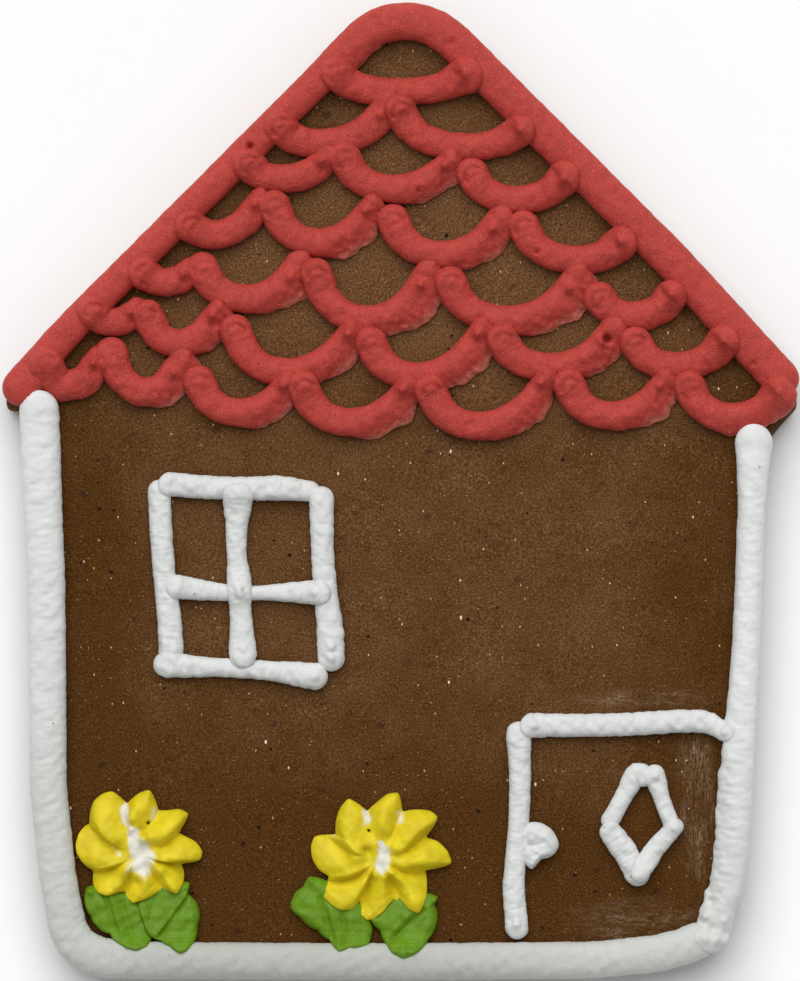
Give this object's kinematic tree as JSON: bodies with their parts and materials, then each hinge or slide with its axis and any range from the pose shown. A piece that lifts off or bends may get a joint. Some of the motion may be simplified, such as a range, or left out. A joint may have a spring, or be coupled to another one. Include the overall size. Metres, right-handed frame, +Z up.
{
  "type": "gingerbread house cookie",
  "caption": "Flat house-shaped gingerbread biscuit lying iced side up, with a piped scalloped roof, walls, window, door and two flowers with leaves.",
  "frame": {"origin": "middle of the underside, on the surface that the cookie lies on", "axes": "+X to the house's right, +Y from its foot to its ridge, +Z up out of the iced side"},
  "size_m": [0.0994, 0.122, 0.0096],
  "materials": {
    "gingerbread": "baked gingerbread, matt and dense, with fine pale and dark specks",
    "red_icing": "dried red royal icing, satin-matt, soft edges",
    "white_icing": "dried white royal icing, satin-matt",
    "yellow_icing": "stiff yellow icing streaked with white, satin",
    "green_icing": "stiff leaf-green icing, satin"
  },
  "bodies": {
    "root": {"biscuit": "gingerbread", "diamond_lower_left": "white_icing", "diamond_lower_right": "white_icing", "diamond_upper_left": "white_icing", "diamond_upper_right": "white_icing", "door_jamb": "white_icing", "door_knob": "white_icing", "door_lintel": "white_icing", "flower_left": "yellow_icing", "flower_right": "yellow_icing", "gable_line": "red_icing", "leaf_left_1": "green_icing", "leaf_left_2": "green_icing", "leaf_right_1": "green_icing", "leaf_right_2": "green_icing", "tile_1_1": "red_icing", "tile_2_1": "red_icing", "tile_2_2": "red_icing", "tile_3_1": "red_icing", "tile_3_2": "red_icing", "tile_3_3": "red_icing", "tile_4_1": "red_icing", "tile_4_2": "red_icing", "tile_4_3": "red_icing", "tile_4_4": "red_icing", "tile_5_1": "red_icing", "tile_5_2": "red_icing", "tile_5_3": "red_icing", "tile_5_4": "red_icing", "tile_5_5": "red_icing", "tile_6_1": "red_icing", "tile_6_2": "red_icing", "tile_6_3": "red_icing", "tile_6_4": "red_icing", "tile_6_5": "red_icing", "tile_6_6": "red_icing", "tile_7_1": "red_icing", "tile_7_2": "red_icing", "tile_7_3": "red_icing", "tile_7_4": "red_icing", "tile_7_5": "red_icing", "tile_7_6": "red_icing", "tile_7_7": "red_icing", "wall_left_and_foot": "white_icing", "wall_right": "white_icing", "window_head": "white_icing", "window_jamb_left": "white_icing", "window_jamb_right": "white_icing", "window_mullion": "white_icing", "window_sill": "white_icing", "window_transom": "white_icing"}
  },
  "joints": []
}
